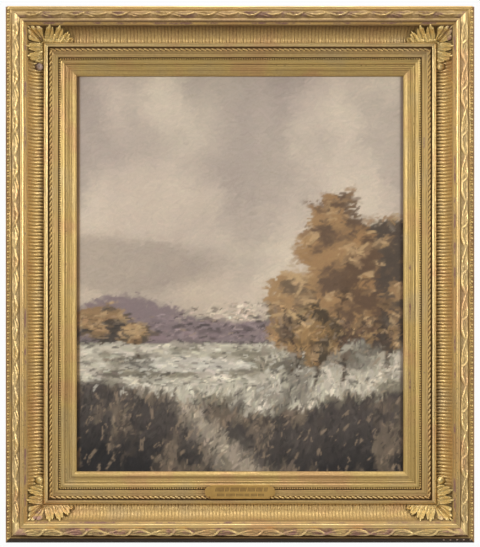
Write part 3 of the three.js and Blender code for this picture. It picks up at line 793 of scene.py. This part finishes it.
def brush(colour, thick, x, y, length, width, angle, shade, body, rng):
    """One loaded stroke: bristle streaks along it, a ridge of paint at its edges and a soft end."""
    rows, columns = thick.shape
    reach = int(0.6 * length) + 2
    left, right = max(int(x) - reach, 0), min(int(x) + reach, columns)
    low, high = max(int(y) - reach, 0), min(int(y) + reach, rows)
    if left >= right or low >= high:
        return
    gx, gy = np.meshgrid(np.arange(left, right) - x, np.arange(low, high) - y)
    along = (gx * math.cos(angle) + gy * math.sin(angle)) / (length / 2)
    across = (-gx * math.sin(angle) + gy * math.cos(angle) + 0.12 * width * along ** 2) / (width / 2)
    streaks = np.interp(across, np.linspace(-1, 1, 7), rng.random(7))
    cover = np.clip((1 - np.abs(across)) * 3, 0, 1) * np.clip((1 - np.abs(along)) * (1.5 + 3 * streaks), 0, 1)
    patch = (slice(low, high), slice(left, right))
    tint = shade * (0.93 + 0.14 * streaks[..., None])
    colour[patch] += (tint - colour[patch]) * (cover * 0.85)[..., None]
    ridge = body * (0.55 + 0.45 * streaks + 0.3 * np.abs(across) ** 3)
    thick[patch] += (ridge - thick[patch]) * cover * 0.8


# The layers of strokes: how many, their length and width in steps of the grid, and how thick the paint is.
STROKES = ((1500, 26, 8, 0.16), (3800, 13, 4, 0.2), (7200, 7, 2.0, 0.24))


def painted(columns, rows):
    """The finished painting as colour and paint thickness on a grid, rows from bottom to top."""
    rng = np.random.default_rng(7)
    gx, gy = np.meshgrid(np.linspace(0, 1, columns), np.linspace(0, 1, rows))
    design = landscape(gx, gy)
    light, ochre, dark = (np.array(linear(hue)[:3]) for hue in ("e6dfcd", "a58e74", "241f1d"))
    colour, thick = design * 0.9, np.full((rows, columns), 0.02)
    for count, long, wide, body in STROKES:
        for _ in range(count):
            x, y = rng.random() * (columns - 1), rng.random() * (rows - 1)
            height = y / rows
            if height > 0.4:
                angle = rng.normal(0.12, 0.55)
            elif height > 0.22:
                angle = rng.normal(0.0, 0.25 if x / columns < 0.55 else 1.2)
            else:
                angle = rng.normal(1.25, 0.5)
            low = height < 0.41 - 0.02 * math.sin(9 * x / columns)
            shade = design[int(y), int(x)] * math.exp(rng.normal(0, 0.22 if low else 0.018))
            shade = shade * (1 + rng.normal(0, 0.02 if low else 0.008, 3))
            # Crisp lights and darks are set down last, on the land only.
            accent = rng.random()
            bright = light if 0.2 < height < 0.33 and x / columns < 0.7 else ochre
            if low and wide < 6 and accent < 0.1:
                shade = 0.45 * shade + 0.55 * bright
            elif low and wide < 6 and accent > 0.84:
                shade = 0.35 * shade + 0.65 * dark
            reach = 0.7 if low else 1.15
            size = reach * rng.uniform(0.7, 1.2)
            brush(colour, thick, x, y, long * size, wide * size, angle, np.clip(shade, 0, 1), body, rng)
    return np.clip(colour, 0, 1), thick


def canvas_piece(materials):
    """The stretched linen: painted face with its thickness of paint, edges turned over the stretcher."""
    half_width = SIGHT_WIDTH / 2 + CANVAS_EDGE
    half_height = (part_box("canvas")[1].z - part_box("canvas")[0].z) / MM / 2
    columns, rows = int(2 * half_width / GRID_STEP), int(2 * half_height / GRID_STEP)
    colour, thick = painted(columns, rows)
    gx, gz = np.meshgrid(np.linspace(-1, 1, columns), np.linspace(-1, 1, rows))
    # A painted shadow of the liner's upright edges darkens the paint beside them.
    edge_shadow = np.clip((np.abs(gx) * half_width - (SIGHT_WIDTH / 2 - SHADOWED_EDGE)) / 1.5, 0, 1)
    colour = colour * (1 - edge_shadow[..., None] * np.where(gx[..., None] < 0, SHADOW_LEFT, SHADOW_RIGHT))
    depth = CANVAS_FACE - PRIMED_BACK + thick
    face = np.stack([gx * half_width, -depth, CENTRE_Z + gz * half_height], -1).reshape(-1, 3)
    index = np.arange(columns * rows).reshape(rows, columns)
    front, rim = grid_faces(index), grid_rim(index)
    points, faces, slots = [face], [front], [np.zeros(len(front), int)]
    start = len(face)
    ring, before = rim, face[rim]
    # Down over the stretcher's edge, in behind it, and back again on the inside of the linen.
    shoulder, tacked = CANVAS_FACE - 1.2, STRETCHER_BACK - 0.1
    steps = ((LINEN, shoulder), (LINEN, tacked - LINEN), (-FOLD_WIDTH, tacked - LINEN), (-FOLD_WIDTH, tacked),
             (0.1, tacked), (0.1, shoulder), (-0.5, CANVAS_FACE - 1.1))
    for out, depth in steps:
        corner = np.stack([np.clip(before[:, 0], -half_width, half_width) * (half_width + out) / half_width,
                           np.full(len(before), -depth),
                           CENTRE_Z + (before[:, 2] - CENTRE_Z) * (half_height + out) / half_height], 1)
        points.append(corner)
        following = np.arange(start, start + len(rim))
        faces.append(ring_wall(ring, following))
        slots.append(np.ones(len(rim), int))
        ring, start = following, start + len(rim)
    shades = np.concatenate([np.clip(1 - thick.ravel() * 4, 0, 1), np.full(start - len(face), 0.5)])[:, None]
    piece = finish_mesh("painted_canvas", np.concatenate(points), np.concatenate(faces), materials,
                        np.concatenate(slots), shades, [list(ring[::-1])], sharp=60)
    piece.data.polygons[len(piece.data.polygons) - 1].material_index = 1
    layer = piece.data.attributes.new("paint", "FLOAT_COLOR", "POINT")
    values = np.ones((start, 4), np.float32) * 0.5
    values[:len(face), :3] = colour.reshape(-1, 3)
    values[:, 3] = 1
    layer.data.foreach_set("color", values.ravel())
    return piece


# ---- nameplate ----

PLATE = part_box("nameplate")
# The spacing of its points, the radius of its notches, the length of its points, and its room in the solid.
PLATE_STEP = 0.45
PLATE_NOTCH = 3.4
PLATE_POINT = 8.0
PLATE_EASE = 0.8
# How deep the strokes are cut, and their spacing.
PLATE_CUT = 0.15
STROKE_PITCH = 1.9
# The two rows of strokes: level, height, lean, first and last place, and a seed.
ENGRAVED_ROWS = ((3.6, 6.8, 0.2, -37, 37, 3), (-4.7, 4.8, 0.0, -34, 35, 5))


def plate_half_height(x, half_length, half_height):
    """The outline: straight edges, a quarter-round notch at each corner and a bracket point at each end."""
    edge = half_length - PLATE_POINT
    shoulder = edge + PLATE_NOTCH
    low = half_height - PLATE_NOTCH
    past = np.abs(x)
    notch = low + PLATE_NOTCH * (1 - np.sqrt(np.clip(1 - ((shoulder - past) / PLATE_NOTCH - 1) ** 2, 0, 1)))
    point = low * np.sqrt(np.clip(1 - ((past - shoulder) / (half_length - shoulder)) ** 2, 0, 1))
    ends = np.where(past < shoulder, np.minimum(notch, half_height), point)
    return np.where(past <= edge, half_height, ends)


def engraving(x, z):
    """Depth of the two engraved rows: plain parallel strokes in uneven groups."""
    depth = np.zeros_like(x)
    for level, tall, lean, start, stop, seed in ENGRAVED_ROWS:
        rng = np.random.default_rng(seed)
        s, foot = start, level - tall / 2
        while s < stop:
            for _ in range(rng.integers(3, 8)):
                inside = np.clip((z - foot) / 0.6, 0, 1) * np.clip((foot + tall - z) / 0.6, 0, 1)
                line = np.abs(x - s - lean * (z - foot))
                depth = np.maximum(depth, inside * np.clip(1.5 - line / 0.55, 0, 1))
                s += STROKE_PITCH
            s += rng.uniform(1.2, 2.6)
    return depth


def nameplate_piece(materials):
    """A thin engraved plate with soft edges."""
    low, high = PLATE
    half_length, half_height = (high.x - low.x) / MM / 2, (high.z - low.z) / MM / 2 - PLATE_EASE
    back, front = -high.y / MM, -low.y / MM
    middle = (low.z + high.z) / MM / 2
    columns, rows = int(2 * half_length / PLATE_STEP), int(2 * half_height / PLATE_STEP)
    x = np.linspace(-half_length + 0.05, half_length - 0.05, columns)[:, None] * np.ones((1, rows))
    z = np.linspace(-1, 1, rows)[None, :] * np.maximum(plate_half_height(x, half_length, half_height), 0.25)
    cut = engraving(x, z)
    inset = np.minimum(plate_half_height(x, half_length, half_height) - np.abs(z), half_length - np.abs(x))
    soft = np.clip(1 - inset / 0.9, 0, 1) ** 2
    face = np.stack([x, -(front - PLATE_CUT * cut - 0.5 * soft), middle + z], -1).reshape(-1, 3)
    rear = np.stack([x, np.full_like(x, -back), middle + z], -1).reshape(-1, 3)
    index = np.arange(columns * rows).reshape(columns, rows)
    top, rim = grid_faces(index), grid_rim(index)
    behind = np.arange(len(rim)) + len(face)
    wall = ring_wall(rim, behind)
    scored = np.clip(cut + 0.3 * soft, 0, 1).ravel()
    shades = np.stack([np.concatenate([scored, np.full(len(rim), 0.6)]),
                       np.concatenate([0.8 * (1 - scored), np.zeros(len(rim))])], 1)
    return finish_mesh("engraved_nameplate", np.concatenate([face, rear[rim]]), np.concatenate([top, wall]),
                       materials,
                       np.zeros(len(top) + len(wall), int), shades, [list(behind[::-1])], sharp=60)


# ---- materials ----

def blank(name):
    """A new material and the function that adds to its empty tree."""
    material = bpy.data.materials.new(name)
    material.use_nodes = True
    material.node_tree.nodes.clear()
    return material, partial(add, material.node_tree)


def begin(name, *labels):
    """A blank material, with the object's coordinates and the named attributes."""
    material, node = blank(name)
    place = node("ShaderNodeTexCoord").outputs["Object"]
    values = [node("ShaderNodeAttribute", {"attribute_name": label}).outputs["Fac"] for label in labels]
    return material, node, place, *values


def glaze(node, under, hue, where, low, high, most=1.0):
    """One colour laid over another where a value rises from low to high, up to a share of most."""
    share = node("ShaderNodeMapRange", Value=where, _1=low, _2=high, _3=0.0, _4=most)
    return node("ShaderNodeMix", COLOURS, _0=share, _6=under, _7=linear(hue))


def finish_shader(node, **sockets):
    """Ends a tree in a surface with these sockets."""
    shader = node("ShaderNodeBsdfPrincipled", **sockets)
    node("ShaderNodeOutputMaterial", Surface=shader)


def gilding(name, hues, metallic, roughness, worn):
    """Gold leaf laid on red bole, with toning, and rubbed: bright where burnished, umber in the recesses, as
    toning and painted shade.
    """
    gold, pale, warm, dirt_and_shade, bole = hues.split()
    material, node, place, recess, burnish, patches = begin(name, "recess", "burnish", "bole")
    # Leaves of gold differ a little from each other over some 60 mm.
    broad = node("ShaderNodeTexNoise", Vector=place, Scale=17.0, Detail=3.0)
    colour = glaze(node, linear(gold), pale, broad, 0.52, 0.66)
    colour = glaze(node, colour, warm, broad, 0.47, 0.34)
    # Toning and painted shade settle in the recesses, broken up at the scale of a brush's bristles, 3 mm.
    fine = node("ShaderNodeTexNoise", Vector=place, Scale=330.0, Detail=5.0, Roughness=0.65)
    grime_and_shade = node("ShaderNodeMath", TIMES_PLUS, _0=fine, _1=0.4, _2=-0.2)
    grime_and_shade = node("ShaderNodeMath", {"operation": "ADD", "use_clamp": True}, _0=grime_and_shade, _1=recess)
    grime_and_shade = node("ShaderNodeMapRange", Value=grime_and_shade, _1=0.12, _2=0.95, _3=0.0, _4=0.92)
    # Fine streaks from the scraper and the toning brush run along each moulding, 1.3 mm apart.
    course = node("ShaderNodeAttribute", {"attribute_name": "course"}).outputs["Vector"]
    drawn = node("ShaderNodeMapping", Vector=course, Scale=(7.0, 760.0, 760.0))
    streak = node("ShaderNodeTexNoise", Vector=drawn, Scale=1.0, Detail=3.0, Roughness=0.6)
    colour = glaze(node, colour, dirt_and_shade, streak, 0.5, 0.72, 0.5)
    # Rubbed places where the bole shows, 20 to 50 mm long with ragged edges.
    rub = node("ShaderNodeTexNoise", Vector=place, Scale=34.0, Detail=6.0, Roughness=0.7)
    share = node("ShaderNodeMath", TIMES_PLUS, _0=patches, _1=0.3, _2=worn)
    rub = node("ShaderNodeMath", {"operation": "ADD"}, _0=rub, _1=share)
    rub = node("ShaderNodeMapRange", Value=rub, _1=0.70, _2=0.80)
    colour = node("ShaderNodeMix", COLOURS, _0=rub, _6=colour, _7=linear(bole))
    colour = node("ShaderNodeMix", COLOURS, _0=grime_and_shade, _6=colour, _7=linear(dirt_and_shade))
    covered = node("ShaderNodeMath", {"operation": "MAXIMUM"}, _0=rub, _1=grime_and_shade)
    leaf = node("ShaderNodeMapRange", Value=covered, _3=metallic, _4=0.1)
    dull = node("ShaderNodeMapRange", Value=fine, _1=0.3, _2=0.75, _3=roughness - 0.08, _4=roughness + 0.12)
    dull = node("ShaderNodeMath", TIMES_PLUS, _0=covered, _1=0.3, _2=dull)
    shine = node("ShaderNodeMath", TIMES_PLUS, _0=burnish, _1=-0.12, _2=dull)
    relief = node("ShaderNodeMath", TIMES_PLUS, _0=fine, _1=0.2, _2=streak)
    bump = node("ShaderNodeBump", Strength=0.8, Distance=0.0006, Height=relief)
    finish_shader(node, Base_Color=colour, Metallic=leaf, Roughness=shine, Normal=bump)
    return material


def toned_ochre():
    """The frame's outer edge: yellow ochre size colour brushed over gesso, rubbed and dusty."""
    material, node, place, recess = begin("toned_ochre_distemper", "recess")
    broad = node("ShaderNodeTexNoise", Vector=place, Scale=22.0, Detail=6.0, Roughness=0.65)
    specks = node("ShaderNodeTexNoise", Vector=place, Scale=420.0, Detail=3.0)
    colour = glaze(node, linear("bd925a"), "8f663e", broad, 0.4, 0.66)
    uneven = node("ShaderNodeMapRange", Value=specks, _1=0.3, _2=0.7, _3=0.7, _4=1.1)
    # Darker where the recess value is high: dust in the hollows, and on the bottom rail's underside painted
    # shade, near black.
    dark = node("ShaderNodeMath", {"operation": "MULTIPLY", "use_clamp": True}, _0=recess, _1=uneven)
    colour = glaze(node, colour, "140d08", dark, 0.05, 0.85, 0.93)
    dull = node("ShaderNodeMapRange", Value=specks, _3=0.5, _4=0.8)
    bump = node("ShaderNodeBump", Strength=0.3, Distance=0.0005, Height=specks)
    finish_shader(node, Base_Color=colour, Roughness=dull, Normal=bump)
    return material


def pine(name, upright):
    """Planed pine gone brown with age: close darker growth lines along the bar, and dust."""
    material, node, place = begin(name)
    along = (42.0, 150.0, 0.7) if upright else (0.7, 150.0, 42.0)
    stretched = node("ShaderNodeMapping", Vector=place, Scale=along)
    grain = node("ShaderNodeTexNoise", Vector=stretched, Scale=6.0, Detail=5.0, Roughness=0.6)
    broad = node("ShaderNodeTexNoise", Vector=place, Scale=9.0, Detail=4.0)
    colour = glaze(node, linear("a8794b"), "7b5331", grain, 0.38, 0.64)
    colour = glaze(node, colour, "6c5844", broad, 0.4, 0.7, 0.6)
    dull = node("ShaderNodeMapRange", Value=grain, _3=0.6, _4=0.85)
    bump = node("ShaderNodeBump", Strength=0.35, Distance=0.0005, Height=grain)
    finish_shader(node, Base_Color=colour, Roughness=dull, Normal=bump)
    return material


# The linen's threads, drawn 1.6 mm apart, which is twice the real spacing, so that they show.
THREADS = 2 * math.pi / (1.6 * MM) / 20


def weave_of(node, place, distortion, crossing):
    """The linen's warp and weft, crossed by a sum or a product."""
    warp, weft = (
        node("ShaderNodeTexWave", {"bands_direction": way}, Vector=place, Scale=THREADS,
             Distortion=distortion).outputs["Fac"] for way in ("X", "Z"))
    return node("ShaderNodeMath", {"operation": crossing}, _0=warp, _1=weft)


def oil_paint():
    """Oil paint under an old varnish: brushed body, the linen's weave faint through it, fine cracks."""
    material, node, place, ridge = begin("varnished_oil_paint", "recess")
    paint = node("ShaderNodeAttribute", {"attribute_name": "paint"}).outputs["Color"]
    weave = weave_of(node, place, 1.0, "ADD")
    body = node("ShaderNodeTexNoise", Vector=place, Scale=500.0, Detail=4.0)
    crack = node("ShaderNodeTexVoronoi", {"feature": "DISTANCE_TO_EDGE"}, Vector=place, Scale=70.0)
    line = node("ShaderNodeMapRange", Value=crack.outputs["Distance"], _1=0.0, _2=0.03, _3=0.06, _4=0.0)
    colour = glaze(node, paint, "4a3826", body, 0.3, 0.7, 0.04)
    colour = node("ShaderNodeMix", COLOURS, _0=line, _6=colour, _7=linear("2b211a"))
    height = node("ShaderNodeMath", TIMES_PLUS, _0=weave, _1=0.25, _2=body)
    height = node("ShaderNodeMath", {"operation": "SUBTRACT"}, _0=height, _1=line)
    gloss = node("ShaderNodeMapRange", Value=ridge, _3=0.38, _4=0.58)
    bump = node("ShaderNodeBump", Strength=0.3, Distance=0.0003, Height=height)
    finish_shader(node, Base_Color=colour, Roughness=gloss, Normal=bump, Coat_Weight=0.12,
                  Coat_Roughness=0.3)
    return material


def raw_linen():
    """Unprimed linen, plain woven and brown with age, seen from behind."""
    material, node, place = begin("raw_linen_weave")
    weave = weave_of(node, place, 1.6, "MULTIPLY")
    broad = node("ShaderNodeTexNoise", Vector=place, Scale=8.0, Detail=6.0)
    shade = node("ShaderNodeMath", TIMES_PLUS, _0=weave, _1=0.5, _2=broad)
    colour = glaze(node, linear("6e5b42"), "a18c69", shade, 0.15, 1.2)
    bump = node("ShaderNodeBump", Strength=0.5, Distance=0.0004, Height=weave)
    finish_shader(node, Base_Color=colour, Roughness=0.9, Normal=bump)
    return material


def engraved_brass():
    """Lacquered brass, brushed along its length and gone brown in the engraving."""
    material, node, place, recess = begin("lacquered_brass", "recess")
    drawn = node("ShaderNodeMapping", Vector=place, Scale=(30.0, 900.0, 900.0))
    scratch = node("ShaderNodeTexNoise", Vector=drawn, Scale=1.0, Detail=4.0)
    cloud = node("ShaderNodeTexNoise", Vector=place, Scale=60.0, Detail=5.0)
    colour = glaze(node, linear("cba35c"), "a88046", cloud, 0.4, 0.7, 0.55)
    filled = node("ShaderNodeMapRange", Value=recess, _1=0.15, _2=0.8, _3=0.0, _4=0.75)
    colour = node("ShaderNodeMix", COLOURS, _0=filled, _6=colour, _7=linear("5c4426"))
    metal = node("ShaderNodeMapRange", Value=filled, _3=0.5, _4=0.1)
    dull = node("ShaderNodeMapRange", Value=scratch, _1=0.3, _2=0.7, _3=0.3, _4=0.48)
    bump = node("ShaderNodeBump", Strength=0.15, Distance=0.0002, Height=scratch)
    finish_shader(node, Base_Color=colour, Metallic=metal, Roughness=dull, Normal=bump)
    return material


# The hues are of the leaf, of paler and warmer leaves in it, of the dirt and painted shade in the recesses,
# and of the bole.
gold_on_wood = gilding("toned_water_gilding", "d8b872 d0b47a d6ac72 5c3f1e 94705e", 0.55, 0.42, -0.04)
gold_on_composition = gilding("toned_oil_gilding_on_composition",
                              "dcba78 d4b67e d8b076 5f4322 9a7566", 0.55, 0.42, -0.06)
# The leaves and the edge beads take a paler, lighter copy of the gilding, as painted light on the high
# carving.
gold_lightened_on_leaves = gilding("oil_gilding_lightened_as_painted_light_on_the_leaves",
                         "f6d88e eed492 eec888 543c20 b48c78", 0.36, 0.42, -0.1)
# The lip, the ridge's crest and most of the garland take this lighter copy of the gilding, as painted light.
rubbed_gold_painted_light = gilding("rubbed_oil_gilding_on_the_high_carving",
                      "ffde98 f4d496 f8cc90 5f4322 c09080", 0.45, 0.44, -0.08)
bare_composition = gilding("rubbed_composition", "bca392 b09c90 c4a48c 6a5446 a08a7e", 0.1, 0.6, 0.0)
side_tone = toned_ochre()
pine_level = pine("aged_pine_level", False)
pine_upright = pine("aged_pine_upright", True)
brass = engraved_brass()


# ---- pieces ----

def dress(piece, slot_name, *nodes):
    """The piece moves with the body and stands for its solids, which it hides. slot_name is not used."""
    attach(piece, BODY)
    if nodes:
        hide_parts(*nodes)
    return piece


for side_name in SIDES:
    wood = pine_upright if side_name in ("left", "right") else pine_level
    carved = side_piece(f"carved_rail_{side_name}", side_name, rail_rows,
                        [gold_on_composition, side_tone, wood, rubbed_gold_painted_light])
    dress(carved, "gilt_composition", f"rail_{side_name}")
    lining = side_piece(f"gilt_liner_{side_name}", side_name, liner_rows, [gold_on_wood, side_tone, wood])
    dress(lining, "gilt_wood", f"liner_{side_name}")
    for solid_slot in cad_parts[f"stretcher_{side_name}"].material_slots:
        solid_slot.material = wood

CORNERS = {"top_left": (-1, 1), "top_right": (1, 1), "bottom_left": (-1, -1), "bottom_right": (1, -1)}
for corner_name, corner_way in CORNERS.items():
    leaf = corner_leaf(f"acanthus_{corner_name}", corner_way, [gold_lightened_on_leaves, bare_composition],
                       bare_curl=corner_name == "top_left")
    dress(leaf, "gilt_composition", f"corner_leaf_{corner_name}")

rows_tree = ornament_tree()
# The beads run the whole height of the upright rails, and only a few are left at the right end of the bottom.
upright_end = SIGHT_HEIGHT / 2 + BEADS_AT[0] - BEAD_PITCH / 2
level_end = SIGHT_WIDTH / 2 + BEADS_AT[0] - BEAD_PITCH / 2
bead_runs = [(side_name, -upright_end, upright_end) for side_name in BEADED_SIDES]
last_run = [("bottom", -level_end, -level_end + LAST_BEADS)]
for row_name, place, row_material, slot_name, runs, sizes in (
        ("rope_moulding", ROPE_AT, gold_on_composition, "gilt_composition", None,
         (ROPE_PITCH, 5.0, 1.5, 1.9, 0.36, 1.0)),
        ("pearl_row", PEARLS_AT, gold_on_wood, "gilt_wood", None, (PEARL_PITCH, 1.35, 1.3, 2.0, 0.0, 0.96)),
        ("edge_bead_row", BEADS_AT, gold_lightened_on_leaves, "gilt_composition", bead_runs,
         (BEAD_PITCH, 2.1, 2.6, 3.4, 0.0, 0.55)),
        ("last_edge_beads", BEADS_AT, bare_composition, "gilt_composition", last_run,
         (LAST_BEAD_PITCH, 2.9, 1.4, 3.0, 0.0, 1.0))):
    dress(ornament_row(row_name, rows_tree, place, row_material, runs, sizes), slot_name)

canvas = dress(canvas_piece([oil_paint(), raw_linen()]), "painted_canvas", "canvas")
# The linen was cut to the face and, on every side, the stretcher's edge and the strip tacked behind it.
dress(nameplate_piece([brass]), "plate_brass", "nameplate")


# ---- camera, light and floor ----

VIEW_DISTANCE = 1.95
REFERENCE_DEPTH = 0.046
FLOOR_LEVEL = -1.87

camera_data = bpy.data.cameras.new("camera")
camera_data.lens = 84.8
camera_data.sensor_width = 36.0
camera_data.shift_y = 0.085
camera = stand("camera", camera_data)
camera.location = (0.0, -(VIEW_DISTANCE + REFERENCE_DEPTH), CENTRE_Z * MM - 0.07)
camera.rotation_euler = (math.pi / 2, 0, 0)
bpy.context.scene.camera = camera


def soft_light(name, place, size, watts):
    """A square soft box aimed at the middle of the picture."""
    data = bpy.data.lights.new(name, "AREA")
    data.shape, data.size, data.energy = "SQUARE", size, watts
    light = stand(name, data)
    light.location = place
    target = np.array([0, 0, CENTRE_Z * MM])
    direction = target - np.array(place)
    tilt = math.acos(-direction[2] / np.linalg.norm(direction))
    light.rotation_euler = (tilt, 0, math.atan2(direction[1], direction[0]) - math.pi / 2)
    light.visible_camera = False


soft_light("left_soft_box", (-2.12, -1.57, 0.12), 1.0, 43)
soft_light("right_soft_box", (2.12, -1.57, 0.12), 1.0, 42)
soft_light("overhead_soft_box", (0.0, -0.45, 1.4), 0.8, 24)
soft_light("low_fill", (0.0, -2.6, -0.6), 1.4, 3.5)
soft_light("rear_soft_box", (0.0, 2.0, -0.35), 1.0, 26)

world = bpy.data.worlds.new("pale_room")
world.use_nodes = True
world.node_tree.nodes.clear()
room = partial(add, world.node_tree)
seen = room("ShaderNodeLightPath").outputs["Is Camera Ray"]
bright = room("ShaderNodeMix", COLOURS, _0=seen, _6=(0.01, 0.01, 0.0095, 1), _7=linear("fdfdfd"))
sky = room("ShaderNodeBackground", Color=bright, Strength=1.0)
room("ShaderNodeOutputWorld", Surface=sky)
bpy.context.scene.world = world
bpy.context.scene.view_settings.view_transform = "Standard"

floor_material, floor_node = blank("pale_floor_paint")
finish_shader(floor_node, Base_Color=linear("d8d5d0"), Roughness=0.8)
floor_mesh = bpy.data.meshes.new("floor")
floor_corners = [(x, y, FLOOR_LEVEL) for x, y in ((-3, -3), (3, -3), (3, 1), (-3, 1))]
floor_mesh.from_pydata(floor_corners, [], [(0, 1, 2, 3)])
floor_mesh.materials.append(floor_material)
floor = stand("floor", floor_mesh)
